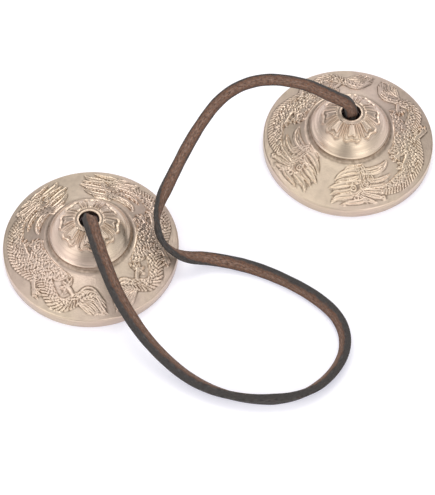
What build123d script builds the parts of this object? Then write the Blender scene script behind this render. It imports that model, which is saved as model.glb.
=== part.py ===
from build123d import *
import math
import os

# A pair of small cast bronze hand cymbals, tied to the two ends of one leather thong.
# Millimetres. The origin is on the table, midway between the two cymbals, +Z up.

# Where the two cymbals stand
left_centre = (-47.74, -25.46)
right_centre = (47.74, 25.46)

# One cymbal: every radius is from the hole's axis, every height from the table
rim_radius = 32.5
side_top = 3.9
shoulder_middle = (31.95, 4.8)
border_edge = (30.85, 5.12)
border_line = (30.85, 5.25)
flange_middle = (23.2, 8.15)
flange_start = (16.3, 11.5)
groove_floor = (15.35, 11.15)
ring_foot = (14.95, 11.9)
ring_top = (14.7, 13.15)
rosette_edge = (10.95, 18.2)
lip_outer = (4.9, 22.25)
lip_middle = (4.2, 22.55)
hole_radius = 3.5
lip_inner_height = 22.2
corner_round = 0.5

# The hollow underneath: the rim stands on a flat ring, the flange rises to a deep bell
rim_inner = 28.9
flange_under_edge = (27.9, 1.5)
flange_under_middle = (21.2, 5.25)
bell_mouth = (14.4, 8.1)
bell_mouth_middle = (13.05, 9.1)
bell_wall = (12.5, 10.9)
bell_shoulder = (9.75, 15.95)
bell_ceiling = (5.0, 19.1)
throat_height = 19.2

# The thong: its section is about 4.9 by 3.3, and a round tube of like area stands for it
thong_diameter = 4.5
thong_radius = thong_diameter / 2
bend_share = 0.45

# The thong's route from the left hole to the right hole. It leaves each hole straight up.
# It drops over the left cymbal's front to the table, turns in a wide loop, comes back along
# the table, climbs round the left rim and crosses to the right cymbal in a high arc.
route = [
    (-47.7, -25.5, 21.0),
    (-47.7, -25.6, 26.0),
    (-46.9, -29.6, 28.4),
    (-45.0, -34.8, 26.3),
    (-42.0, -41.5, 21.5),
    (-35.5, -54.5, 14.5),
    (-23.5, -69.5, 7.5),
    (-6.0, -81.0, 2.6),
    (15.5, -86.0, 2.6),
    (34.5, -82.0, 2.6),
    (45.5, -69.0, 2.6),
    (45.0, -54.0, 2.6),
    (34.5, -41.0, 2.6),
    (15.0, -31.0, 2.6),
    (-3.0, -28.5, 2.4),
    (-14.5, -31.8, 8.0),
    (-22.5, -27.5, 12.5),
    (-24.5, -17.0, 16.5),
    (-20.0, -5.0, 21.0),
    (-12.0, 12.5, 26.5),
    (-2.0, 28.0, 29.5),
    (13.5, 34.0, 31.0),
    (30.0, 32.0, 31.0),
    (40.5, 27.2, 29.6),
    (47.6, 25.2, 28.0),
    (47.7, 25.5, 21.0),
]

# The knot tied in each end, hanging slack inside the bell, and its short cut end
neck_radius = 2.0
neck_top = 20.4
knot_top = 17.4
knot_widest = (5.7, 13.1)
knot_upper = (4.4, 16.3)
knot_lower = (4.5, 9.9)
knot_bottom = 8.9
tail_radius = 1.9
tail_start = (2.5, 0.8, 12.2)
tail_length = 7.0
tail_direction = (0.86, 0.33, -0.38)
tail_round = 0.7


def make_cymbal(centre, label):
    upright = Plane(origin=(*centre, 0), x_dir=(1, 0, 0), z_dir=(0, -1, 0))
    with BuildPart() as cymbal:
        with BuildSketch(upright):
            with BuildLine():
                hole_wall = Line((hole_radius, throat_height), (hole_radius, lip_inner_height))
                lip = ThreePointArc(hole_wall @ 1, lip_middle, lip_outer)
                dome = ThreePointArc(lip @ 1, rosette_edge, ring_top)
                groove = Polyline(dome @ 1, ring_foot, groove_floor, flange_start)
                flange = ThreePointArc(groove @ 1, flange_middle, border_line)
                border = Line(flange @ 1, border_edge)
                shoulder = ThreePointArc(border @ 1, shoulder_middle, (rim_radius, side_top))
                side = Line(shoulder @ 1, (rim_radius, corner_round))
                corner = RadiusArc(side @ 1, (rim_radius - corner_round, 0), corner_round)
                foot = Line(corner @ 1, (rim_inner, 0))
                edge = Line(foot @ 1, flange_under_edge)
                under = ThreePointArc(edge @ 1, flange_under_middle, bell_mouth)
                mouth = ThreePointArc(under @ 1, bell_mouth_middle, bell_wall)
                bell = ThreePointArc(mouth @ 1, bell_shoulder, bell_ceiling)
                Line(bell @ 1, hole_wall @ 0)
            make_face()
        revolve(axis=Axis((*centre, 0), (0, 0, 1)))
    cymbal.part.label = label
    return cymbal.part


def make_knot(centre, label):
    upright = Plane(origin=(*centre, 0), x_dir=(1, 0, 0), z_dir=(0, -1, 0))
    tail_origin = Vector(*centre, 0) + Vector(*tail_start)
    with BuildPart() as knot:
        with BuildSketch(upright):
            with BuildLine():
                axis_line = Line((0, knot_bottom), (0, neck_top))
                neck_end = Line(axis_line @ 1, (neck_radius, neck_top))
                neck = Line(neck_end @ 1, (neck_radius, knot_top))
                crown = ThreePointArc(neck @ 1, knot_upper, knot_widest)
                base = ThreePointArc(crown @ 1, knot_lower, (neck_radius, knot_bottom))
                Line(base @ 1, axis_line @ 0)
            make_face()
        revolve(axis=Axis((*centre, 0), (0, 0, 1)))
        with BuildSketch(Plane(origin=tail_origin, z_dir=tail_direction)):
            Circle(tail_radius)
        extrude(amount=tail_length)
        cut_end = knot.faces().sort_by(Axis(tail_origin, tail_direction))[-1]
        fillet(cut_end.edges(), radius=tail_round)
    knot.part.label = label
    return knot.part


def corner_radii(points):
    radii = []
    for before, corner, after in zip(points, points[1:], points[2:]):
        run_in = Vector(*corner) - Vector(*before)
        run_out = Vector(*after) - Vector(*corner)
        half_turn = math.radians(run_in.get_angle(run_out)) / 2
        radii.append(bend_share * min(run_in.length, run_out.length) / math.tan(half_turn))
    return radii


def make_strap(label):
    radii = corner_radii(route)
    print("bend radii along the thong:", [round(radius, 1) for radius in radii])
    with BuildPart() as strap:
        with BuildLine():
            path = FilletPolyline(*route, radius=radii)
        with BuildSketch(Plane(origin=path @ 0, z_dir=path % 0)):
            Circle(thong_radius)
        sweep(path=path)
    section = math.pi * thong_radius**2
    print("thong length", round(path.length, 1), "volume", round(strap.part.volume, 1),
          "section times length", round(section * path.length, 1))
    strap.part.label = label
    return strap.part


parts = [
    make_cymbal(left_centre, "left_cymbal"),
    make_cymbal(right_centre, "right_cymbal"),
    make_knot(left_centre, "left_knot"),
    make_knot(right_centre, "right_knot"),
    make_strap("strap"),
]

os.makedirs("parts", exist_ok=True)
for part in parts:
    export_step(part, "parts/" + part.label + ".step")
    print(part.label, "volume", round(part.volume, 1))
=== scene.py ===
# %% [markdown]
# Two small cast bronze hand cymbals on one leather thong.
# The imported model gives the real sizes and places. Everything built here sits in that frame,
# in metres, and rides on its bodies. The helpers take millimetres, because that is how such
# small castings are measured.

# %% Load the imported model
import math

import bmesh
import bpy
import numpy as np
from mathutils import Matrix, Vector


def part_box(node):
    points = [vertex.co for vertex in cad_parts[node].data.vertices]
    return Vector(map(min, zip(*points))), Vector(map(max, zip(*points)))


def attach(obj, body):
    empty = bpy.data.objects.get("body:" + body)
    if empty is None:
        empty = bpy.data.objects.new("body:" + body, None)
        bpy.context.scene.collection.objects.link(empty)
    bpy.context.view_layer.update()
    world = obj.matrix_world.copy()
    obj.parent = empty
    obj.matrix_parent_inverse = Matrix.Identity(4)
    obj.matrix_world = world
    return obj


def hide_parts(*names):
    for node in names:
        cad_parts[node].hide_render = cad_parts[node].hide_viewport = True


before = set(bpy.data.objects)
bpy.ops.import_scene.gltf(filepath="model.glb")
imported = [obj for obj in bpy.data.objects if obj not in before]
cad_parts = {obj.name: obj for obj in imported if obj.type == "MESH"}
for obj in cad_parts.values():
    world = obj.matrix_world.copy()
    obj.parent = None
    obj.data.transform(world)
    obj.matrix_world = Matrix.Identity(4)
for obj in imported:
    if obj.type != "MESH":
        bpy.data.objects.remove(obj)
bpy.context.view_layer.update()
MM = 0.001
print("packed nodes:", len(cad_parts))


def centre_of(node):
    """The place on the table under a cymbal's hole."""
    low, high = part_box(node)
    return Vector(((low[0] + high[0]) / 2, (low[1] + high[1]) / 2, 0.0))


left_centre = centre_of("left_cymbal")
right_centre = centre_of("right_cymbal")
print("cymbal centres, mm:", [round(v / MM, 2) for v in (*left_centre[:2], *right_centre[:2])])

# %% [markdown]
# The camera stands where the photographer's did: well back, with a long lens, looking down at
# about 58 degrees. It could be placed by eye, but the rims, holes and rings of both cymbals are
# round, so their outlines in the photo fit one camera closely. Its turn about its own axis is
# under 2 degrees, but it shows on two objects so far apart.

# %% Camera: photo height and focal length in pixels, sensor in millimetres, place in metres
PHOTO_HEIGHT = 495
FOCAL_PIXELS = 2062.5
SENSOR = 36.0
NEAR_CLIP = 0.01
CAMERA_PLACE = Vector((-0.00094, -0.42402, 0.65462))
CAMERA_ELEVATION = math.radians(58.45)
CAMERA_ROLL = math.radians(1.72)

camera_data = bpy.data.cameras.new("camera")
camera_data.sensor_width = SENSOR
camera_data.lens = FOCAL_PIXELS * SENSOR / PHOTO_HEIGHT
camera_data.clip_start = NEAR_CLIP
camera = bpy.data.objects.new("camera", camera_data)
bpy.context.scene.collection.objects.link(camera)
tilt = Matrix.Rotation(math.pi / 2 - CAMERA_ELEVATION, 4, "X")
roll = Matrix.Rotation(CAMERA_ROLL, 4, "Z")
camera.matrix_world = Matrix.Translation(CAMERA_PLACE) @ tilt @ roll
bpy.context.scene.camera = camera
print("lens", round(camera_data.lens, 1), "mm")

# %% [markdown]
# The thong is one strip of split leather, about 4.9 mm wide and 3 mm thick. It could be a
# bevelled curve, but its flesh side is brown nap, while its grain side and cut edges are nearly
# black, and it twists along its length. So the curve gives only the line, and a strip is laid
# along it with its own turn at each place. On the table it stands on its edge.

# %% The thong's route in millimetres: the solid's points, some moved under 2.5 mm
route = [
    (-47.7, -25.2, 20.9), (-47.6, -26.0, 24.6), (-46.6, -30.0, 26.2), (-44.8, -35.2, 24.9),
    (-41.8, -42.0, 20.8), (-35.5, -54.5, 14.5), (-23.5, -69.5, 7.5), (-6.0, -82.6, 2.8),
    (15.5, -87.6, 2.8), (34.5, -83.6, 2.8), (46.4, -69.0, 2.8), (45.9, -54.0, 2.8),
    (34.5, -42.4, 2.8), (15.0, -32.4, 2.8), (-3.0, -28.5, 2.8), (-14.5, -31.8, 8.0),
    (-22.5, -27.5, 12.5), (-24.0, -17.0, 16.5), (-18.6, -5.0, 21.0), (-10.4, 12.0, 26.5),
    (-0.4, 27.4, 29.5), (13.5, 34.0, 31.0), (30.0, 32.0, 31.0), (40.5, 27.2, 29.6),
    (47.6, 25.2, 28.0), (47.7, 25.5, 21.0),
]
THONG_STEPS = 14


def read_spline(name, points_mm, steps):
    """Points along a smooth spline that has these points as its control points, in millimetres."""
    curve = bpy.data.curves.new(name, "CURVE")
    curve.dimensions = "3D"
    spline = curve.splines.new("NURBS")
    spline.points.add(len(points_mm) - 1)
    for control, place in zip(spline.points, points_mm):
        control.co = (*place, 1.0)
    spline.order_u = 3
    spline.use_endpoint_u = True
    spline.resolution_u = steps
    carrier = bpy.data.objects.new(name, curve)
    bpy.context.scene.collection.objects.link(carrier)
    line = bpy.data.meshes.new_from_object(carrier)
    found = np.array([vertex.co[:] for vertex in line.vertices])
    bpy.data.objects.remove(carrier)
    bpy.data.curves.remove(curve)
    bpy.data.meshes.remove(line)
    return found


def along(points):
    """The distance along a line of points, from its start."""
    return np.concatenate([[0.0], np.cumsum(np.linalg.norm(np.diff(points, axis=0), axis=1))])


thong_line = read_spline("thong_line", route, THONG_STEPS)
thong_run = along(thong_line)
print("thong: points", len(thong_line), "length", round(float(thong_run[-1]), 1), "mm")

# %% How it turns: millimetres from the left hole, and where its brown face looks, in degrees
# At 0 the face looks level to the right of the way the thong runs, at 90 up and at 180 left.
face_turn = [
    (0, 120), (34, 124), (60, 134), (78, 138), (96, 160), (106, 175), (124, 148), (143, 155),
    (161, 163), (178, 167), (191, 157), (204, 126), (216, 89), (223, 45), (234, -6), (243, 17),
    (250, 55), (260, 75), (269, 79), (287, 66), (300, 52), (324, 49), (336, 36), (346, 30),
]

# %% How its width and thickness vary, cut by hand as it is: distance, size in millimetres
width_at = [(0, 5.0), (60, 4.9), (200, 4.8), (245, 4.7), (285, 4.3), (330, 4.4), (350, 4.6)]
thickness_at = [
    (0, 3.3), (75, 3.3), (106, 2.8), (125, 2.9), (161, 3.1), (190, 2.7), (205, 2.6),
    (222, 2.4), (234, 2.1), (245, 2.0), (262, 2.6), (300, 2.9), (350, 3.1),
]


def read_table(table, where):
    """The values at these places, straight between the rows of a (place, value) table."""
    return np.interp(where, *zip(*table))


# %% [markdown]
# The strip is a grid of faces, rolled up round its line. A bevel profile on the curve could make
# it too, but here each place has its own turn, width and thickness, and each point keeps two
# values for the leather: how dark its side is, and where it lies on the strip.

# %% Lay a strip along a line: the waves in its width are in radians for each millimetre
LEVEL_ENOUGH = 0.45
CORNER_STEPS = 3
CORNER_DARKNESS = 0.32
LONG_WAVE = 0.31
SHORT_WAVE = 0.83
SEAM_GAP = 1e-6


def line_frames(points, turns_deg):
    """The brown face's normal and the direction of the width, at each point of a line."""
    tangent = np.gradient(points, axis=0)
    tangent /= np.linalg.norm(tangent, axis=1)[:, None]
    side = np.cross(tangent, (0.0, 0.0, 1.0))
    # Where the line is nearly upright, it takes its side from the nearest place that is not
    level = np.where(np.linalg.norm(side, axis=1) > LEVEL_ENOUGH)[0]
    nearest = level[np.argmin(np.abs(np.arange(len(points))[:, None] - level[None, :]), axis=1)]
    side = side[nearest]
    side -= tangent * (side * tangent).sum(1)[:, None]
    side /= np.linalg.norm(side, axis=1)[:, None]
    up = np.cross(side, tangent)
    turn = np.radians(turns_deg)[:, None]
    face = side * np.cos(turn) + up * np.sin(turn)
    return face, np.cross(tangent, face)


def oblong_section(width, thickness, corner):
    """A rounded rectangle: its points, and how dark each is, from 0 in the flesh side's middle."""
    points = []
    dark = []
    quarter = math.pi / 2
    for number, (sx, sy) in enumerate(((1, 1), (-1, 1), (-1, -1), (1, -1))):
        middle = (sx * (width / 2 - corner), sy * (thickness / 2 - corner))
        for step in range(CORNER_STEPS + 1):
            angle = quarter * (number + step / CORNER_STEPS)
            points.append((middle[0] + corner * math.cos(angle), middle[1] + corner * math.sin(angle)))
            rising = CORNER_DARKNESS + (1 - CORNER_DARKNESS) * abs(math.cos(angle))
            dark.append(rising if sy > 0 else 1.0)
        if number == 0:
            points.append((0.0, thickness / 2))
            dark.append(0.0)
    return np.array(points), np.array(dark)


def lay_strip(name, line_mm, turns_deg, width, thickness, corner=0.8, wander=0.0):
    """A closed strip of rounded oblong section, its width and thickness given at each point."""
    ring, dark = oblong_section(width.max(), thickness.max(), corner)
    around = along(np.vstack([ring, ring[:1]]))
    narrowing = width / width.max()
    thinning = thickness / thickness.max()
    face, across = line_frames(line_mm, turns_deg)
    run = along(line_mm)
    count, sides = len(line_mm), len(ring)
    mesh = bpy.data.meshes.new(name)
    bm = bmesh.new()
    bmesh.ops.create_grid(bm, x_segments=count - 1, y_segments=sides, size=0.5)
    dark_layer = bm.verts.layers.float.new("dark_side")
    strip_layer = bm.verts.layers.float_vector.new("on_strip")
    for vertex in bm.verts:
        i = round((vertex.co.x + 0.5) * (count - 1))
        j = round((vertex.co.y + 0.5) * sides) % sides
        unevenness = math.sin(run[i] * LONG_WAVE) + math.sin(run[i] * SHORT_WAVE + 1.0)
        swell = narrowing[i] + wander * unevenness
        place = line_mm[i] + across[i] * ring[j, 0] * swell + face[i] * ring[j, 1] * thinning[i]
        vertex[dark_layer] = dark[j]
        vertex[strip_layer] = (run[i], around[j], 0.0)
        vertex.co = Vector(place) * MM
    bmesh.ops.remove_doubles(bm, verts=bm.verts, dist=SEAM_GAP)
    open_edges = [edge for edge in bm.edges if edge.is_boundary]
    bmesh.ops.holes_fill(bm, edges=open_edges, sides=0)
    bmesh.ops.recalc_face_normals(bm, faces=bm.faces)
    bm.to_mesh(mesh)
    bm.free()
    mesh.shade_smooth()
    piece = bpy.data.objects.new(name, mesh)
    bpy.context.scene.collection.objects.link(piece)
    print(name, "faces", len(mesh.polygons))
    return piece


thong = lay_strip(
    "thong",
    thong_line,
    read_table(face_turn, thong_run),
    read_table(width_at, thong_run),
    read_table(thickness_at, thong_run),
    wander=0.012,
)
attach(thong, "strap")
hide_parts("strap")

# %% [markdown]
# Inside each bell the thong ends in an overhand knot, which stops it from pulling through. The
# photograph can't show it, but the underside does. A plain ball would do from above. A strip
# laid along a loop shows what it is from below: the end goes down, loops once round itself and
# comes out at the side, cut short.

# %% The knots, in millimetres from the middle of each cymbal's foot
KNOT_STEPS = 8
KNOT_WIDTH = 3.9
KNOT_THICKNESS = 2.9
KNOT_CORNER = 0.9
knot_turn = [(0, 134), (10, 170), (30, 200), (60, 250)]
knot_route = [
    (0.0, 0.0, 20.6), (0.0, 0.1, 17.5), (-0.3, 0.2, 13.5), (0.8, -0.4, 10.4), (4.2, -0.8, 10.6),
    (5.0, 2.2, 13.2), (1.8, 5.0, 15.2), (-3.2, 4.2, 15.2), (-5.2, -0.4, 14.2), (-2.8, -4.6, 13.2),
    (2.0, -5.2, 12.2), (4.6, -3.4, 9.8), (7.4, 0.6, 8.8), (9.6, 3.4, 9.4),
]


def make_knot(name, centre, node):
    line = read_spline(name + "_line", knot_route, KNOT_STEPS) + np.array(centre) / MM
    turns = read_table(knot_turn, along(line))
    width = np.full(len(line), KNOT_WIDTH)
    thickness = np.full(len(line), KNOT_THICKNESS)
    knot = lay_strip(name, line, turns, width, thickness, corner=KNOT_CORNER)
    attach(knot, node)
    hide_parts(node)
    return knot


left_knot = make_knot("left_tied_end", left_centre, "left_knot")
right_knot = make_knot("right_tied_end", right_centre, "right_knot")

# %% [markdown]
# A cymbal is turned: one outline, spun round its hole. Stacked cylinders and cones would leave
# edges where the real one flows, so its dome, flange, rim and bell are arcs. The relief is
# cast, so it is moved into the spun surface afterwards. The outline has many points where the
# relief will be and few underneath, where the casting is plain.

# %% The outline of one cymbal, radius and height in millimetres
HOLE_RADIUS = 3.5
RIM_RADIUS = 32.5
LIP_OUTER = (4.9, 22.25)
LIP_END = 5.2
ROSETTE_EDGE = (10.95, 18.2)
RING_TOP = (14.7, 13.15)
COVE_END = 17.1
FLANGE_START = (16.3, 11.5)
FLANGE_MIDDLE = (23.2, 8.15)
BORDER_LINE = (30.85, 5.25)
ROSETTE_REACH = 11.4
ROSETTE_RINGS = 42
PLAIN_DOME_RADII = (12.0, 12.7, 13.3, 13.8, 14.2, 14.5)
FLANGE_RINGS = 68
SPIN_STEPS = 612


def arc_through(start, middle, end, steps):
    """Points on the round arc from start through middle to end, without start."""
    (ax, ay), (bx, by), (cx, cy) = start, middle, end
    d = 2 * (ax * (by - cy) + bx * (cy - ay) + cx * (ay - by))
    a2, b2, c2 = ax * ax + ay * ay, bx * bx + by * by, cx * cx + cy * cy
    ux = (a2 * (by - cy) + b2 * (cy - ay) + c2 * (ay - by)) / d
    uy = (a2 * (cx - bx) + b2 * (ax - cx) + c2 * (bx - ax)) / d
    first = math.atan2(ay - uy, ax - ux)
    turn_mid = (math.atan2(by - uy, bx - ux) - first + math.pi) % (2 * math.pi) - math.pi
    turn_end = (math.atan2(cy - uy, cx - ux) - first + math.pi) % (2 * math.pi) - math.pi
    if turn_end * turn_mid < 0:
        turn_end -= math.copysign(2 * math.pi, turn_end)
    radius = math.hypot(ax - ux, ay - uy)
    angles = [first + turn_end * step / steps for step in range(1, steps + 1)]
    return [(ux + radius * math.cos(angle), uy + radius * math.sin(angle)) for angle in angles]


def dome_points():
    """The dome from its lip to the ring, with close points under the rosette."""
    fine = arc_through(LIP_OUTER, ROSETTE_EDGE, RING_TOP, 400)
    under_rosette = np.linspace(LIP_OUTER[0], ROSETTE_REACH, ROSETTE_RINGS)[1:]
    radii = (*under_rosette, *PLAIN_DOME_RADII)
    return [min(fine, key=lambda point: abs(point[0] - radius)) for radius in radii]


def cymbal_outline():
    # The rolled lip of the hole, then the dome
    outline = [(HOLE_RADIUS, 19.4), (HOLE_RADIUS, 22.2)]
    outline += arc_through(outline[-1], (3.62, 22.44), (3.9, 22.54), 3)
    outline += [(4.3, 22.52), (4.65, 22.42), LIP_OUTER]
    outline += dome_points()
    # The fine ring at the dome's foot, the cove round it and the flange
    outline += [(14.6, 13.4), (14.74, 13.31), (14.88, 13.2), (14.96, 13.0), (15.0, 12.7)]
    outline += [(15.1, 12.35), (15.32, 11.95), (15.65, 11.6), (16.05, 11.4), (16.5, 11.26), (16.9, 11.14)]
    flange = arc_through(FLANGE_START, FLANGE_MIDDLE, BORDER_LINE, FLANGE_RINGS)
    outline += [point for point in flange if point[0] > COVE_END]
    # The plain border, the rounded rim and the flat foot
    outline += [(31.4, 5.07), (31.95, 4.89)]
    outline += arc_through(outline[-1], (32.34, 4.66), (RIM_RADIUS, 4.25), 5)
    outline += [(RIM_RADIUS, 0.5), (32.36, 0.15), (32.0, 0.0), (29.1, 0.0), (28.8, 0.12), (27.9, 1.5)]
    # The hollow underneath, from the foot up through the bell to the hole
    outline += arc_through(outline[-1], (21.2, 5.25), (14.4, 8.1), 8)
    outline += arc_through(outline[-1], (13.05, 9.1), (12.5, 10.9), 3)
    outline += arc_through(outline[-1], (9.75, 15.95), (5.0, 19.1), 6)
    outline += [(3.8, 19.2)]
    return outline


outline = cymbal_outline()
print("outline points", len(outline), "triangles", len(outline) * SPIN_STEPS * 2)


def spin_cymbal(name):
    """The plain casting: the outline as a closed ring of edges, spun once round."""
    mesh = bpy.data.meshes.new(name)
    bm = bmesh.new()
    ring = [bm.verts.new((radius * MM, 0.0, height * MM)) for radius, height in outline]
    for first, second in zip(ring, ring[1:] + ring[:1]):
        bm.edges.new((first, second))
    bmesh.ops.spin(
        bm,
        geom=bm.verts[:] + bm.edges[:],
        cent=(0.0, 0.0, 0.0),
        axis=(0.0, 0.0, 1.0),
        angle=2 * math.pi,
        steps=SPIN_STEPS,
        use_merge=True,
    )
    bmesh.ops.recalc_face_normals(bm, faces=bm.faces)
    bm.to_mesh(mesh)
    bm.free()
    return mesh


# %% [markdown]
# Two dragons run round the flange from a gap between their heads to a gap between their tails,
# the one a mirror of the other. A bump texture could draw them, but their edges catch the light
# and show in the outline, so they are real height in the metal. Each line is a smooth stroke,
# given by a few points: the angle from the gap between the heads, and the radius. A stroke
# raises the metal most along its middle. Bodies are broad bands with rows of scales, and their
# points have a third value, half the band's width there.

# %% Lines, and shapes of a rise
def smooth_path(points, steps=6):
    """A smooth line that passes through each of a few points."""
    p = np.array(points, float)
    p = np.vstack([2 * p[0] - p[1], p, 2 * p[-1] - p[-2]])
    found = []
    for i in range(1, len(p) - 2):
        a, b, c, d = p[i - 1], p[i], p[i + 1], p[i + 2]
        bend = 2 * a - 5 * b + 4 * c - d
        sweep = 3 * b - a - 3 * c + d
        for t in np.linspace(0, 1, steps, endpoint=False):
            found.append(0.5 * (2 * b + (c - a) * t + bend * t**2 + sweep * t**3))
    found.append(p[-2])
    return np.array(found)


def flat(points):
    """From angle in degrees and radius to a plan in millimetres, keeping any further columns."""
    p = np.array(points, float)
    angle = np.radians(p[:, 0])
    return np.column_stack([p[:, 1] * np.cos(angle), p[:, 1] * np.sin(angle), p[:, 2:]])


def nearest_on_line(where, line):
    """For each place: the distance to the line, the distance along it, and the signed side."""
    best = np.full(len(where), np.inf)
    run = np.zeros(len(where))
    side = np.zeros(len(where))
    steps = along(line[:, :2])
    for k in range(len(line) - 1):
        a, b = line[k, :2], line[k + 1, :2]
        d = b - a
        length = math.hypot(*d)
        t = np.clip(((where - a) @ d) / (length * length), 0.0, 1.0)
        off = where - a - t[:, None] * d
        distance = np.hypot(off[:, 0], off[:, 1])
        closer = distance < best
        best[closer] = distance[closer]
        run[closer] = (steps[k] + t * length)[closer]
        side[closer] = np.sign(d[0] * off[:, 1] - d[1] * off[:, 0])[closer]
    return best, run, side


def rounded(x):
    """1 at x = 0, falling as a round back to 0 at x = 1."""
    return np.sqrt(np.clip(1 - x * x, 0.0, 1.0))


def slope(x, reach):
    """0 up to x = 0, rising evenly to 1 at x = reach."""
    return np.clip(x / reach, 0, 1)


def ridge(x, middle, spread):
    """1 at the middle, falling off softly to both sides."""
    return np.exp(-(((x - middle) / spread) ** 2))


def off_whole(x):
    """How far a number is from the nearest whole one."""
    return np.abs(x - np.round(x))


# %% The scales and ribs of a body, by the distance along it and outward from its middle
def body_ribs(run, outward, scale):
    """Slanted ribs, 1 on their tops and 0 between them."""
    slant, pitch, half_width = 0.75, 0.72, 0.36
    phase = (run + slant * outward) / (pitch * scale)
    return rounded(np.clip(off_whole(phase) / half_width, 0, 1))


def scatter(u, v):
    """A number from 0 to 1 for each pair of whole numbers, the same each time and in no order."""
    mixed = np.sin(np.round(u) * 12.9898 + np.round(v) * 78.233) * 43.7585
    return mixed - np.floor(mixed)


def body_scales(run, outward, scale):
    """Beadlike scales where two slanting families of rows cross, each of its own height."""
    drift = 0.20 * np.sin(run * 0.9 + outward * 1.7) + 0.14 * np.sin(run * 2.3 - outward * 1.1)
    rising = (run + 0.95 * outward) / scale + drift
    falling = (run - 1.35 * outward) / (scale * 1.12) - drift
    u, v = off_whole(rising), off_whole(falling)
    size, lowest, spread = 0.23, 0.45, 0.70
    return rounded(np.sqrt((u * u + v * v) / size)) * (lowest + spread * scatter(rising, falling))


# %% A relief that grows stroke by stroke
class Relief:
    """Heights at fixed places on the flange. Sizes and heights are in millimetres."""

    def __init__(self, where):
        self.where = where
        self.height = np.zeros(len(where))

    def near(self, line, reach):
        """The places in the box round a line, with this much to spare."""
        low = line[:, :2].min(0) - reach
        high = line[:, :2].max(0) + reach
        inside = ((self.where > low) & (self.where < high)).all(1)
        return np.where(inside)[0]

    def raise_to(self, pick, height):
        self.height[pick] = np.maximum(self.height[pick], height)

    def stroke(self, points, width, height, tip):
        """A raised line, full in its middle, with this share of its width at its ends."""
        line = flat(smooth_path(points))
        pick = self.near(line, width)
        distance, run, _ = nearest_on_line(self.where[pick], line)
        share = run / along(line[:, :2])[-1]
        half = width * (tip + (1 - tip) * np.sqrt(np.clip(4 * share * (1 - share), 0, 1)))
        self.raise_to(pick, height * rounded(distance / half))

    def field(self, points, height, bevel=0.5):
        """A raised flat field inside a closed outline."""
        line = flat(smooth_path(points + points[:1]))
        pick = self.near(line, reach=0.1)
        where = self.where[pick]
        distance, _, _ = nearest_on_line(where, line)
        # A place is inside where an odd number of the outline's edges lies beyond it in x
        inside = np.zeros(len(where), bool)
        not_zero = 1e-12
        for a, b in zip(line[:-1, :2], line[1:, :2]):
            crosses = (a[1] > where[:, 1]) != (b[1] > where[:, 1])
            reach = (b[0] - a[0]) * (where[:, 1] - a[1]) / (b[1] - a[1] + not_zero) + a[0]
            inside ^= crosses & (where[:, 0] < reach)
        rise = slope(distance, bevel)
        self.raise_to(pick, np.where(inside, height * rise * (2 - rise), 0.0))

    def leaf(self, points, width, height):
        """A lock or fin from root to tip: pointed, with a raised line along each edge."""
        line = flat(smooth_path(points))
        pick = self.near(line, width)
        distance, run, _ = nearest_on_line(self.where[pick], line)
        share = np.clip(run / along(line[:, :2])[-1], 0, 1)
        fullness, narrowing, root, finest = 1.75, 0.75, 0.45, 0.02
        half = width * fullness * (1 - share) ** narrowing * (root + share) + finest
        across = distance / half
        edge_line = ridge(across, middle=0.66, spread=0.24)
        self.raise_to(pick, height * slope(1 - across, 0.22) * (0.42 + 0.58 * edge_line))

    def band(self, points, height, scale, comb=0.0):
        """A body: a band of beadlike scales, with a comb of slanted ribs along its outer side."""
        line = flat(smooth_path(points))
        pick = self.near(line, line[:, 2].max() + 0.6)
        distance, run, side = nearest_on_line(self.where[pick], line)
        half = np.interp(run, along(line[:, :2]), line[:, 2])
        outward = -side * distance
        rib = body_ribs(run, outward, scale)
        in_comb = (outward > half - comb) if comb > 0 else np.zeros(len(pick), bool)
        rib_reach, back_share, pattern_rise = 0.45, 0.45, 0.46
        inset = half + np.where(in_comb, rib_reach * rib, 0.0) - distance
        back = height * slope(inset, 0.3)
        pattern = np.where(in_comb, rib, body_scales(run, outward, scale))
        self.raise_to(pick, back_share * back + pattern_rise * pattern * slope(inset, 0.2))
        inner_edge = ridge(outward + half, middle=0.22, spread=0.18) * (distance < half + 0.2)
        self.raise_to(pick, (height * 0.55 + 0.22) * inner_edge)

    def bead(self, angle, radius, size, height):
        """A round bead."""
        middle = flat([(angle, radius)])[0]
        distance = np.hypot(*(self.where - middle).T)
        pick = np.where(distance < size)[0]
        self.raise_to(pick, height * rounded(distance[pick] / size))

    def loop(self, angle, radius, size, width, height):
        """A small raised ring."""
        middle = flat([(angle, radius)])[0]
        distance = np.abs(np.hypot(*(self.where - middle).T) - size)
        pick = np.where(distance < width)[0]
        self.raise_to(pick, height * rounded(distance[pick] / width))


# %% [markdown]
# The dragon winds once: its body runs along the outer side of the flange, and a coil of it
# shows further in. Each foot is a palm with pointed toes. The tail ends in a broad leaf.
# Another way is to copy the photo's lines one by one. Common dragon ornament in the same
# places, drawn with few points, reads the same at this size.

# %% The dragon: its body, legs and tail
def dragon_body(relief):
    inner_coil = [
        (82, 18.2, 0.9), (87, 19.4, 2.0), (93, 20.2, 3.0), (102, 20.4, 3.2),
        (112, 20.0, 2.9), (121, 19.6, 2.5), (130, 19.4, 2.1), (139, 18.6, 0.9),
    ]
    outer_body = [
        (50, 27.2, 1.3), (58, 27.6, 2.0), (68, 27.8, 2.7), (79, 27.5, 3.1),
        (90, 26.6, 3.5), (100, 25.2, 3.4), (109, 24.2, 3.0), (117, 23.6, 2.7),
        (124, 24.4, 2.5), (131, 26.3, 2.4), (138, 28.1, 2.3), (145, 28.0, 2.1),
        (151, 25.9, 2.0), (157, 24.0, 1.7), (164, 23.1, 1.3), (171, 23.8, 0.7),
    ]
    relief.band(inner_coil, height=0.34, scale=1.85)
    relief.band(outer_body, height=0.42, scale=1.65, comb=1.5)


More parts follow.
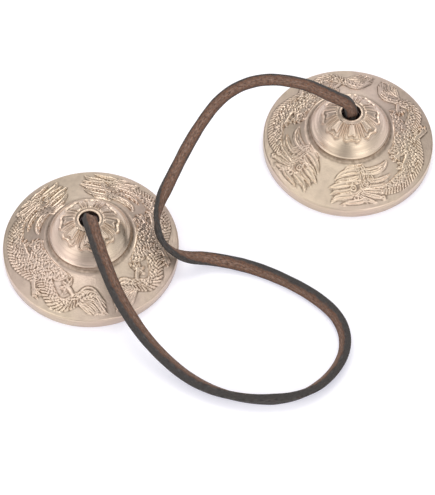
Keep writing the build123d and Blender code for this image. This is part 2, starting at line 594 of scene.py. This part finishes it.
def dragon_legs(relief):
    for leg in (
        [(93, 23.9), (85, 24.2), (79, 24.8)],
        [(88, 21.2), (84, 21.0), (80, 20.6)],
        [(110, 25.0), (115, 27.0), (120, 28.8)],
        [(150, 24.0), (147, 22.8), (143, 21.8)],
    ):
        relief.stroke(leg, width=0.8, height=0.6, tip=0.6)
    for palm, toes in (
        ((79.5, 24.6), ((76.5, 27.0), (73.0, 25.8), (73.0, 23.6), (77.5, 22.2))),
        ((82.0, 20.6), ((79.5, 17.9), (75.5, 18.9), (75.0, 20.9), (79.0, 22.6))),
        ((118.5, 28.4), ((121.5, 30.6), (125.5, 30.2), (126.5, 28.1), (122.5, 26.6))),
        ((142.5, 21.8), ((144.5, 18.3), (138.5, 18.6), (135.5, 20.6), (135.5, 23.0), (140.5, 24.8))),
    ):
        relief.bead(*palm, size=0.95, height=0.45)
        for toe in toes:
            knuckle = ((palm[0] + toe[0]) / 2 + 0.9, (palm[1] + toe[1]) / 2 + 0.3)
            relief.leaf([palm, knuckle, toe], width=0.66, height=0.62)


def dragon_tail(relief):
    leaf = [
        (154, 25.8), (158, 27.4), (163, 29.4), (169, 30.4), (175, 30.6), (176.6, 28.8),
        (176, 26.4), (173, 23.7), (168, 21.9), (162, 21.2), (157, 22.1), (153.5, 23.9),
    ]
    relief.field(leaf, height=0.14)
    for vein in (
        [(152.5, 24.6), (157, 22.0), (163, 21.0), (170, 22.1), (176.6, 26.6)],
        [(154.5, 25.2), (159.5, 23.2), (165, 22.4), (171, 23.4), (176.6, 28.2)],
        [(156.5, 25.7), (161.5, 24.3), (167, 23.8), (171.5, 25.0), (176.4, 30.4)],
    ):
        relief.stroke(vein, width=0.44, height=0.52, tip=0.3)
    for spray in (
        [(160, 25.6), (165, 25.3), (170, 26.6), (174.5, 30.6)],
        [(158, 26.2), (164, 26.4), (168.5, 28.0), (171.5, 30.7)],
        [(158, 26.9), (162.5, 27.5), (166, 28.8), (168.5, 30.6)],
        [(156.5, 26.6), (160, 27.8), (163.5, 29.3), (166, 30.3)],
        [(164, 24.8), (168, 25.2), (171.5, 27.0), (175.5, 30.4)],
    ):
        relief.leaf(spray, width=0.62, height=0.5)


# %% The dragon's head: mane, eye, jaw, whiskers and the long pointed fins
def head_mane(relief):
    head_outline = [
        (8.5, 25.3), (11, 27.4), (15, 29.0), (22, 29.4), (32, 29.4), (42, 29.6), (50, 29.2),
        (55, 27.8), (58, 26.0), (60, 24.0), (54, 24.8), (50, 23.3), (55, 22.3), (62, 20.9),
        (65, 19.5), (56, 18.6), (46, 18.4), (36, 17.9), (25, 18.0), (17, 19.4), (11, 22.0),
    ]
    relief.field(head_outline, height=0.12)
    for lock, width in (
        ([(34, 17.2), (27, 17.3), (20, 18.0), (15.5, 19.9)], 0.85),
        ([(32, 19.0), (24, 18.9), (15, 19.9), (8.5, 22.3)], 1.15),
        ([(31, 20.8), (23, 21.6), (15, 22.0), (9.5, 23.2)], 0.8),
        ([(25, 22.8), (18, 23.3), (11, 24.4), (5.5, 25.6)], 1.2),
        ([(24, 25.2), (18, 26.0), (12.5, 26.3), (8.0, 27.6)], 0.85),
        ([(25, 27.2), (19, 27.6), (13.5, 28.4), (10.5, 30.4)], 1.15),
        ([(36, 28.8), (31, 29.4), (24, 29.7), (17.5, 30.6)], 0.9),
    ):
        relief.leaf(lock, width, height=0.56)


def head_features(relief):
    eye = (26.8, 24.5)
    relief.loop(*eye, size=0.95, width=0.34, height=0.62)
    relief.bead(*eye, size=0.5, height=0.62)
    # A small ring further out than the eye, and a row of beads further in
    relief.loop(29.0, 28.0, size=0.75, width=0.32, height=0.58)
    for number in range(7):
        relief.bead(21.5 + 1.8 * number, 21.7 + 0.05 * number, size=0.4, height=0.5)
    for feature in (
        [(33.5, 25.2), (29, 26.6), (24, 26.4), (21, 25.6)],
        [(31.5, 27.2), (34, 28.6), (37, 30.5)],
        [(33.5, 22.2), (35, 24.6), (39, 25.2), (43, 24.0)],
        [(33, 24.8), (35.5, 26.8), (39.5, 27.6), (43, 27.2)],
        [(36.5, 22.8), (39, 24.0), (41.5, 22.8)],
        [(21, 22.6), (27, 22.6), (33, 23.0)],
        [(30.5, 17.0), (33.4, 19.4), (34.4, 23.0)],
        [(35.0, 16.9), (37.6, 19.6), (38.4, 22.8)],
        [(38.8, 17.2), (41.4, 19.8), (42.4, 23.0)],
        [(42.5, 19.6), (45.6, 21.6), (46.8, 24.0)],
    ):
        relief.leaf(feature, width=0.66, height=0.56)


def head_fins(relief):
    for fin, width in (
        ([(39, 19.2), (50, 19.9), (61, 20.0), (71, 19.2)], 1.5),
        ([(44, 22.9), (54, 23.6), (65, 23.6)], 0.8),
        ([(36, 25.6), (46, 26.9), (56, 28.6)], 0.8),
        ([(39, 24.8), (49, 25.5), (60, 26.6)], 0.8),
        ([(34, 26.6), (43, 28.4), (51, 30.5)], 0.8),
        ([(33, 27.8), (38, 29.4), (43, 30.7)], 0.8),
    ):
        relief.leaf(fin, width, height=0.52)
    for rib in (
        [(43, 18.9), (53, 19.2), (63, 19.3)],
        [(44, 19.7), (54, 20.1), (64, 19.8)],
        [(45, 20.5), (54, 20.9), (62, 20.4)],
    ):
        relief.stroke(rib, width=0.30, height=0.5, tip=0.3)
    # A small ring near the border
    relief.loop(49.0, 29.9, size=0.6, width=0.32, height=0.55)


# %% [markdown]
# The rosette has eight petals, each with a notched tip, a raised outline and a tongue inside
# it, and a fine line between two petals. It could be drawn in strokes as the dragons are, but
# it repeats, so one formula gives its height from the radius and the share of a petal's width.

# %% The rosette: radii of its tips, and shares of half a petal's pitch
PETALS = 8
PETAL_TURN = math.radians(25)
PETAL_TIP = 10.6
TONGUE_TIP = 9.0
LINE_TIP = 10.1
PETAL_SHARE = 0.86
TONGUE_SHARE = 0.47


def rosette_height(angle, radius):
    """How high the rosette stands at these places on the dome, in millimetres."""
    half_pitch = math.pi / PETALS
    off = np.abs((angle - PETAL_TURN + half_pitch) % (2 * half_pitch) - half_pitch)
    share = off / half_pitch
    side = off * radius
    # Each tip stands out in two lobes, so it is notched in its middle
    petal_tip = PETAL_TIP + 0.55 * ridge(share, 0.48, 0.24) - 2.2 * np.clip(share - 0.72, 0, 1)
    tongue_tip = TONGUE_TIP + 0.5 * ridge(share, 0.27, 0.15)
    petal_inset = np.minimum(PETAL_SHARE * half_pitch * radius - side, petal_tip - radius)
    tongue_inset = np.minimum(TONGUE_SHARE * half_pitch * radius - side, tongue_tip - radius)
    petal_edge = 0.62 * ridge(petal_inset, 0.34, 0.27)
    tongue = 0.56 * slope(tongue_inset, 0.26) - 0.20 * slope(tongue_inset - 0.5, 0.3)
    from_gap = (1 - share) * half_pitch * radius
    between = 0.30 * ridge(from_gap, 0.0, 0.17) * slope(LINE_TIP - radius, 0.5)
    start = slope(radius - LIP_END, 0.3)
    return start * np.maximum(np.maximum(petal_edge, tongue), between)


# %% [markdown]
# The relief is cast in: the points of the upper face move out by its height. The same heights
# say where the metal lies below its surroundings, and the finish reads that later to leave a
# brown film there. A texture that finds hollows by itself would have to guess them.

# %% Parts of the upper face by radius, and their film and the cove's painted shade as a depth, both in millimetres
DOME_RELIEF_END = 11.6
DOME_FINISH_END = 11.3
COVE_START = 14.95
FLANGE_RELIEF_START = 16.4
FLANGE_RELIEF_END = 30.84
BORDER_END = 32.0
LIP_FILM = 0.07
# The cove's brown is painted shade, darkest against the ring's wall and fading out onto the flange
COVE_SHADE = 0.11
# The share of its depth that counts in the rosette, and how far its relief goes out and up
ROSETTE_FILM = 0.62
DOME_OUT, DOME_UP = 0.55, 0.83
RING_GAP = 0.02
# Heights between the upper face and the lower one, by radius
between_faces = [(3.6, 20.5), (14.4, 11.0), (28.0, 3.0), (32.5, 2.5)]


def hollow_depth(angle, radius, height, passes):
    """How far each place lies below the mean of its surroundings, in millimetres."""
    order = np.argsort(radius)
    ring = np.empty(len(radius), int)
    ring[order] = np.concatenate([[0], np.cumsum(np.diff(radius[order]) > RING_GAP)])
    step = np.round(angle / (2 * math.pi) * SPIN_STEPS).astype(int) % SPIN_STEPS
    grid = np.zeros((ring.max() + 1, SPIN_STEPS))
    grid[ring, step] = height
    mean = grid
    # Each pass takes the mean of five neighbours round the ring, then of five rings
    for _ in range(passes):
        mean = sum(np.roll(mean, shift, axis=1) for shift in (-2, -1, 0, 1, 2)) / 5
        padded = np.pad(mean, ((2, 2), (0, 0)), mode="edge")
        mean = sum(padded[shift:shift + len(grid)] for shift in range(5)) / 5
    return (mean - grid)[ring, step]


def dragon_heights(angle, radius):
    """The height of both dragons at these places on the flange, faded out at its two edges."""
    plan = np.column_stack([radius * np.cos(angle), radius * np.abs(np.sin(angle))])
    relief = Relief(plan)
    for part in (dragon_body, dragon_legs, head_mane, head_features, head_fins, dragon_tail):
        part(relief)
    fade = slope(radius - 16.6, 0.5) * slope(FLANGE_RELIEF_END - radius, 0.15)
    return relief.height * fade


def cast_relief(mesh):
    """Moves the upper face out into the relief, and marks its hollows, the painted shade in its cove and
    its finish.
    """
    count = len(mesh.vertices)
    places = np.empty(count * 3)
    mesh.vertices.foreach_get("co", places)
    places = places.reshape(count, 3) / MM
    angle = np.arctan2(places[:, 1], places[:, 0])
    radius = np.hypot(places[:, 0], places[:, 1])
    on_top = places[:, 2] > read_table(between_faces, radius)

    def upper(low, high):
        return np.where(on_top & (radius > low) & (radius < high))[0]

    height = np.zeros(count)
    flange = upper(FLANGE_RELIEF_START, FLANGE_RELIEF_END)
    height[flange] = dragon_heights(angle[flange], radius[flange])
    places[flange, 2] += height[flange]
    dome = upper(LIP_OUTER[0], DOME_RELIEF_END)
    height[dome] = rosette_height(angle[dome], radius[dome])
    places[dome, 0] += DOME_OUT * height[dome] * np.cos(angle[dome])
    places[dome, 1] += DOME_OUT * height[dome] * np.sin(angle[dome])
    places[dome, 2] += DOME_UP * height[dome]

    hollow_and_cove_shade = np.zeros(count)
    hollow_and_cove_shade[flange] = hollow_depth(angle[flange], radius[flange], height[flange], passes=2)
    hollow_and_cove_shade[dome] = ROSETTE_FILM * hollow_depth(angle[dome], radius[dome], height[dome], passes=7)
    # Painted shade in the cove at the dome's foot, darkest against the ring's wall
    shaded_cove = upper(COVE_START, COVE_END)
    hollow_and_cove_shade[shaded_cove] = COVE_SHADE * slope(COVE_END - radius[shaded_cove], 1.2)
    lip = upper(0.0, LIP_END)
    hollow_and_cove_shade[lip] = LIP_FILM
    as_cast = np.zeros(count)
    as_cast[upper(FLANGE_RELIEF_START, BORDER_END)] = 1.0
    as_cast[dome] = slope(DOME_FINISH_END - radius[dome], 0.4)
    for filmed_and_shaded in (shaded_cove, lip):
        as_cast[filmed_and_shaded] = 1.0

    mesh.vertices.foreach_set("co", (places * MM).reshape(-1))
    for name, values in (("hollow_and_cove_shade", hollow_and_cove_shade), ("as_cast", as_cast)):
        mesh.attributes.new(name, "FLOAT", "POINT").data.foreach_set("value", values)
    print("relief: vertices", len(flange) + len(dome), "highest", round(float(height.max()), 2), "mm")
    shares = np.percentile(hollow_and_cove_shade[flange], (2, 25, 50, 75, 98))
    print("hollows, mm:", [round(float(v), 3) for v in shares])


casting = spin_cymbal("casting")
cast_relief(casting)

# %% [markdown]
# Both cymbals come from one pattern, so one mesh is copied. Only their turn differs: in the
# photo the dragons' heads meet at the back of the left cymbal and at the front of the right one.
# The turn and the place go into the mesh, and the object stays at the origin.

# %% Two castings, each turned to where its dragons' heads meet
HEAD_TURN = {"left_cymbal": math.radians(108), "right_cymbal": math.radians(247)}
SHARP_ANGLE = math.radians(50)


def place_cymbal(node, centre):
    mesh = casting.copy()
    mesh.name = node + "_casting"
    mesh.transform(Matrix.Translation(centre) @ Matrix.Rotation(HEAD_TURN[node], 4, "Z"))
    mesh.shade_smooth()
    mesh.set_sharp_from_angle(angle=SHARP_ANGLE)
    piece = bpy.data.objects.new(node + "_casting", mesh)
    bpy.context.scene.collection.objects.link(piece)
    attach(piece, node)
    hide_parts(node)
    return piece


left_casting = place_cymbal("left_cymbal", left_centre)
right_casting = place_cymbal("right_cymbal", right_centre)

# %% [markdown]
# A material is a chain of small nodes. These helpers make one node each, link it and return
# its output, so that a finish below reads as a list of what it does.

# %% Node helpers
def new_material(name):
    material = bpy.data.materials.new(name)
    material.use_nodes = True
    nodes = material.node_tree.nodes
    return material, nodes, material.node_tree.links, nodes["Principled BSDF"]


def ramp(nodes, links, factor, stops):
    node = nodes.new("ShaderNodeValToRGB")
    elements = node.color_ramp.elements
    while len(elements) < len(stops):
        elements.new(0.5)
    for element, (place, colour) in zip(elements, stops):
        element.position = place
        element.color = (*colour, 1.0)
    links.new(factor, node.inputs["Fac"])
    return node.outputs["Color"]


def noise(nodes, links, vector, scale, detail):
    node = nodes.new("ShaderNodeTexNoise")
    node.inputs["Scale"].default_value = scale
    node.inputs["Detail"].default_value = detail
    links.new(vector, node.inputs["Vector"])
    return node.outputs["Fac"]


def stretched(nodes, links, vector, scale):
    node = nodes.new("ShaderNodeMapping")
    node.inputs["Scale"].default_value = scale
    links.new(vector, node.inputs["Vector"])
    return node.outputs["Vector"]


def map_range(nodes, links, value, start, end, low=0.0, high=1.0, smooth=False):
    node = nodes.new("ShaderNodeMapRange")
    if smooth:
        node.interpolation_type = "SMOOTHSTEP"
    node.inputs["From Min"].default_value = start
    node.inputs["From Max"].default_value = end
    node.inputs["To Min"].default_value = low
    node.inputs["To Max"].default_value = high
    links.new(value, node.inputs["Value"])
    return node.outputs["Result"]


def mix_colours(nodes, links, factor, first, second):
    node = nodes.new("ShaderNodeMix")
    node.data_type = "RGBA"
    links.new(factor, node.inputs["Factor"])
    for name, colour in (("A", first), ("B", second)):
        if isinstance(colour, tuple):
            node.inputs[name].default_value = (*colour, 1.0)
        else:
            links.new(colour, node.inputs[name])
    return node.outputs["Result"]


def attribute(nodes, name, output="Fac"):
    node = nodes.new("ShaderNodeAttribute")
    node.attribute_name = name
    return node.outputs[output]


def math_node(nodes, links, operation, first, second):
    node = nodes.new("ShaderNodeMath")
    node.operation = operation
    for number, value in enumerate((first, second)):
        if isinstance(value, float):
            node.inputs[number].default_value = value
        else:
            links.new(value, node.inputs[number])
    return node.outputs[0]


def bump(nodes, links, height, strength, distance):
    node = nodes.new("ShaderNodeBump")
    node.inputs["Distance"].default_value = distance
    if isinstance(strength, float):
        node.inputs["Strength"].default_value = strength
    else:
        links.new(strength, node.inputs["Strength"])
    links.new(height, node.inputs["Height"])
    return node.outputs["Normal"]


# %% [markdown]
# Cast bronze, brushed after casting, is a warm pale metal with a satin shine. One roughness all
# over would look like plastic. The hollows of the relief keep a brown film, and the same brown
# in the cove at the dome's foot is painted shade. The cast flange has a fine grain and faint
# stains, and the plain dome and rim show the rings of the lathe. Their shine isn't equally wide
# in all directions, so the shader is told which way the lathe turned.

# %% Bronze: noise scales count features in a metre
PINK_BRONZE = (0.700, 0.557, 0.462)
YELLOW_BRONZE = (0.705, 0.580, 0.448)
# This brown is the film in the relief's hollows, and in the cove it is painted shade
HOLLOW_FILM_AND_SHADE = (0.185, 0.130, 0.090)
GRAIN_HEIGHT = 0.00025


def bronze_colour(nodes, links, place, as_cast, rings):
    """Clean metal in two tones, dulled by the film in hollows, painted shade in the cove and a thin
    tarnish elsewhere.
    """
    patches = noise(nodes, links, place, scale=45.0, detail=2.0)
    tone = map_range(nodes, links, patches, start=0.38, end=0.62)
    clean = mix_colours(nodes, links, tone, PINK_BRONZE, YELLOW_BRONZE)
    spots = noise(nodes, links, place, scale=700.0, detail=3.0)
    stain = map_range(nodes, links, spots, start=0.3, end=0.7, low=0.55, high=1.0)
    deep = map_range(nodes, links, attribute(nodes, "hollow_and_cove_shade"), start=0.0, end=0.15, smooth=True)
    brown_film_and_shade = math_node(nodes, links, "MULTIPLY", deep, stain)
    turned = math_node(nodes, links, "SUBTRACT", 1.0, as_cast)
    tarnish = map_range(nodes, links, rings, start=0.35, end=0.65, low=0.10, high=0.30)
    clouds = noise(nodes, links, place, scale=340.0, detail=4.0)
    patina = map_range(nodes, links, clouds, start=0.44, end=0.66, low=0.0, high=0.15)
    turned_dulling = math_node(nodes, links, "MULTIPLY", turned, tarnish)
    cast_dulling = math_node(nodes, links, "MULTIPLY", as_cast, patina)
    dulling = math_node(nodes, links, "ADD", turned_dulling, cast_dulling)
    dulled_and_shaded = math_node(nodes, links, "MAXIMUM", brown_film_and_shade, dulling)
    return mix_colours(nodes, links, dulled_and_shaded, clean, HOLLOW_FILM_AND_SHADE)


def bronze():
    material, nodes, links, shader = new_material("bronze")
    shader.inputs["Metallic"].default_value = 1.0
    shader.inputs["Anisotropic"].default_value = 0.7
    place = nodes.new("ShaderNodeTexCoord").outputs["Object"]
    as_cast = attribute(nodes, "as_cast")
    along_rings = stretched(nodes, links, place, (0.03, 0.03, 1.0))
    rings = noise(nodes, links, along_rings, scale=2200.0, detail=3.0)
    links.new(bronze_colour(nodes, links, place, as_cast, rings), shader.inputs["Base Color"])
    grain = noise(nodes, links, place, scale=1600.0, detail=3.0)
    rough = nodes.new("ShaderNodeMix")
    links.new(as_cast, rough.inputs["Factor"])
    links.new(map_range(nodes, links, rings, 0.35, 0.65, low=0.26, high=0.38), rough.inputs["A"])
    links.new(map_range(nodes, links, grain, 0.25, 0.75, low=0.34, high=0.50), rough.inputs["B"])
    links.new(rough.outputs["Result"], shader.inputs["Roughness"])
    depth = map_range(nodes, links, as_cast, start=0.0, end=1.0, low=0.08, high=0.35)
    links.new(bump(nodes, links, grain, depth, GRAIN_HEIGHT), shader.inputs["Normal"])
    lathe = nodes.new("ShaderNodeTangent")
    lathe.direction_type = "RADIAL"
    lathe.axis = "Z"
    links.new(lathe.outputs["Tangent"], shader.inputs["Tangent"])
    return material


cast_bronze = bronze()
for piece in (left_casting, right_casting):
    piece.data.materials.append(cast_bronze)

# %% [markdown]
# Split leather has two faces. The flesh side is a brown nap with rusty specks, rubbed darker
# towards its edges. The grain side and the cut edges are dyed nearly black, and the dye ends in
# an uneven line. Two materials would meet in a straight one, so a single material blends both
# by the strip's own values, and its noise follows the strip through every bend.

# %% Leather: noise scales count features in a millimetre, the unit of on_strip
RED_BROWN = (0.092, 0.046, 0.030)
RUST = (0.255, 0.105, 0.050)
NAP_COLOURS = [
    (0.30, (0.060, 0.035, 0.026)),
    (0.50, (0.145, 0.090, 0.067)),
    (0.70, (0.265, 0.175, 0.135)),
]
DYED_COLOURS = [(0.3, (0.019, 0.018, 0.018)), (0.7, (0.074, 0.066, 0.062))]
NAP_HEIGHT = 0.0003


def leather():
    material, nodes, links, shader = new_material("split_leather")
    shader.inputs["Roughness"].default_value = 0.82
    shader.inputs["Specular IOR Level"].default_value = 0.35
    strip = attribute(nodes, "on_strip", "Vector")
    side = attribute(nodes, "dark_side")
    lengthwise = stretched(nodes, links, strip, (0.45, 1.0, 1.0))
    nap = noise(nodes, links, lengthwise, scale=1.5, detail=5.0)

    # The flesh side
    rubbed = map_range(nodes, links, side, start=0.06, end=0.34, low=0.0, high=0.62, smooth=True)
    brown = mix_colours(nodes, links, rubbed, ramp(nodes, links, nap, NAP_COLOURS), RED_BROWN)
    flecks = noise(nodes, links, strip, scale=1.7, detail=3.0)
    specks = map_range(nodes, links, flecks, start=0.51, end=0.66, low=0.0, high=0.6)
    flesh = mix_colours(nodes, links, specks, brown, RUST)

    # The dyed sides, with an uneven line where the dye ends
    patches = noise(nodes, links, strip, scale=0.35, detail=3.0)
    fibres = math_node(nodes, links, "MULTIPLY", nap, 0.8)
    uneven = math_node(nodes, links, "ADD", patches, fibres)
    spread = math_node(nodes, links, "MULTIPLY", uneven, 1.1)
    worn = math_node(nodes, links, "ADD", side, spread)
    dyed = map_range(nodes, links, worn, start=1.24, end=1.98, smooth=True)
    black = ramp(nodes, links, nap, DYED_COLOURS)
    links.new(mix_colours(nodes, links, dyed, flesh, black), shader.inputs["Base Color"])
    links.new(bump(nodes, links, nap, 0.7, NAP_HEIGHT), shader.inputs["Normal"])
    return material


split_leather = leather()
for piece in (thong, left_knot, right_knot):
    piece.data.materials.append(split_leather)

# %% [markdown]
# The photograph is a product picture: a white table, a white ground and large soft lamps. More
# light would make the table white too, but it would wash out the bronze. So the floor glows a
# little to the camera and in mirrors, and only there, and faint shadows stay on it. The world
# is the same to every ray: a pale room, with dimmer places that give the domes their contrast.

# %% Floor: it glows only to rays from the camera, off gloss or through glass
FLOOR_COLOUR = (0.76, 0.755, 0.71)
FLOOR_GLOW = (0.76, 0.76, 1.0)
FLOOR_WHITE = 0.38
FLOOR_HALF_SIDE = 3.0


def seen_or_mirrored(nodes, links):
    """1 for what the camera sees straight, in a reflection or through glass."""
    rays = nodes.new("ShaderNodeLightPath").outputs
    mirrored = math_node(nodes, links, "MAXIMUM", rays["Is Glossy Ray"], rays["Is Transmission Ray"])
    return math_node(nodes, links, "MAXIMUM", rays["Is Camera Ray"], mirrored)


def floor_paint():
    material, nodes, links, shader = new_material("white_floor")
    shader.inputs["Base Color"].default_value = (*FLOOR_COLOUR, 1.0)
    shader.inputs["Roughness"].default_value = 0.9
    shader.inputs["Specular IOR Level"].default_value = 0.0
    lit = nodes.new("ShaderNodeEmission")
    lit.inputs["Color"].default_value = (*FLOOR_GLOW, 1.0)
    lit.inputs["Strength"].default_value = FLOOR_WHITE
    unlit = nodes.new("ShaderNodeEmission")
    unlit.inputs["Strength"].default_value = 0.0
    glow = nodes.new("ShaderNodeMixShader")
    links.new(seen_or_mirrored(nodes, links), glow.inputs["Fac"])
    links.new(unlit.outputs[0], glow.inputs[1])
    links.new(lit.outputs[0], glow.inputs[2])
    both = nodes.new("ShaderNodeAddShader")
    links.new(shader.outputs[0], both.inputs[0])
    links.new(glow.outputs[0], both.inputs[1])
    links.new(both.outputs[0], nodes["Material Output"].inputs["Surface"])
    return material


def lay_floor():
    mesh = bpy.data.meshes.new("floor")
    bm = bmesh.new()
    bmesh.ops.create_grid(bm, x_segments=1, y_segments=1, size=FLOOR_HALF_SIDE)
    bm.to_mesh(mesh)
    bm.free()
    floor = bpy.data.objects.new("floor", mesh)
    bpy.context.scene.collection.objects.link(floor)
    mesh.materials.append(floor_paint())


lay_floor()

# %% World: azimuth and elevation in degrees, and the cosine where dimming starts
DIM_PLACES = [(261, 20, 0.905), (34, 24, 0.82), (146, 24, 0.78)]
DIM_CORE = 0.995
ROOM_COLOUR = (0.84, 0.84, 0.86)
DIM_COLOUR = (0.26, 0.26, 0.27)


def towards(azimuth_deg, elevation_deg):
    azimuth, elevation = math.radians(azimuth_deg), math.radians(elevation_deg)
    level = math.cos(elevation)
    return Vector((math.cos(azimuth) * level, math.sin(azimuth) * level, math.sin(elevation)))


def studio_world():
    """A pale room, the same to every ray, with the dimmer places between its lamps."""
    world = bpy.data.worlds.new("studio")
    bpy.context.scene.world = world
    world.use_nodes = True
    nodes = world.node_tree.nodes
    links = world.node_tree.links
    direction = nodes.new("ShaderNodeTexCoord").outputs["Generated"]
    dimness = None
    for azimuth, elevation, outer in DIM_PLACES:
        facing = nodes.new("ShaderNodeVectorMath")
        facing.operation = "DOT_PRODUCT"
        facing.inputs[1].default_value = towards(azimuth, elevation)
        links.new(direction, facing.inputs[0])
        dim = map_range(nodes, links, facing.outputs["Value"], outer, DIM_CORE, smooth=True)
        dimness = dim if dimness is None else math_node(nodes, links, "MAXIMUM", dimness, dim)
    room = nodes["Background"]
    links.new(mix_colours(nodes, links, dimness, ROOM_COLOUR, DIM_COLOUR), room.inputs["Color"])
    room.inputs["Strength"].default_value = 1.0


studio_world()

# %% Lamps: three soft boxes, a metre from the middle of the table and facing it
LAMP_DISTANCE = 1.0
LAMP_COLOUR = (1.0, 0.98, 0.95)


def softbox(name, azimuth, elevation, size, power):
    lamp = bpy.data.lights.new(name, "AREA")
    lamp.shape = "RECTANGLE"
    lamp.size, lamp.size_y = size
    lamp.energy = power
    lamp.color = LAMP_COLOUR
    away = towards(azimuth, elevation)
    facing = away.to_track_quat("Z", "Y").to_matrix().to_4x4()
    holder = bpy.data.objects.new(name, lamp)
    bpy.context.scene.collection.objects.link(holder)
    holder.matrix_world = Matrix.Translation(away * LAMP_DISTANCE) @ facing


softbox("left_box", azimuth=220, elevation=30, size=(0.62, 1.2), power=3.0)
softbox("right_box", azimuth=302, elevation=30, size=(0.62, 1.2), power=2.9)
softbox("top_box", azimuth=95, elevation=62, size=(0.8, 0.6), power=4.0)

bpy.context.scene.view_settings.view_transform = "Standard"
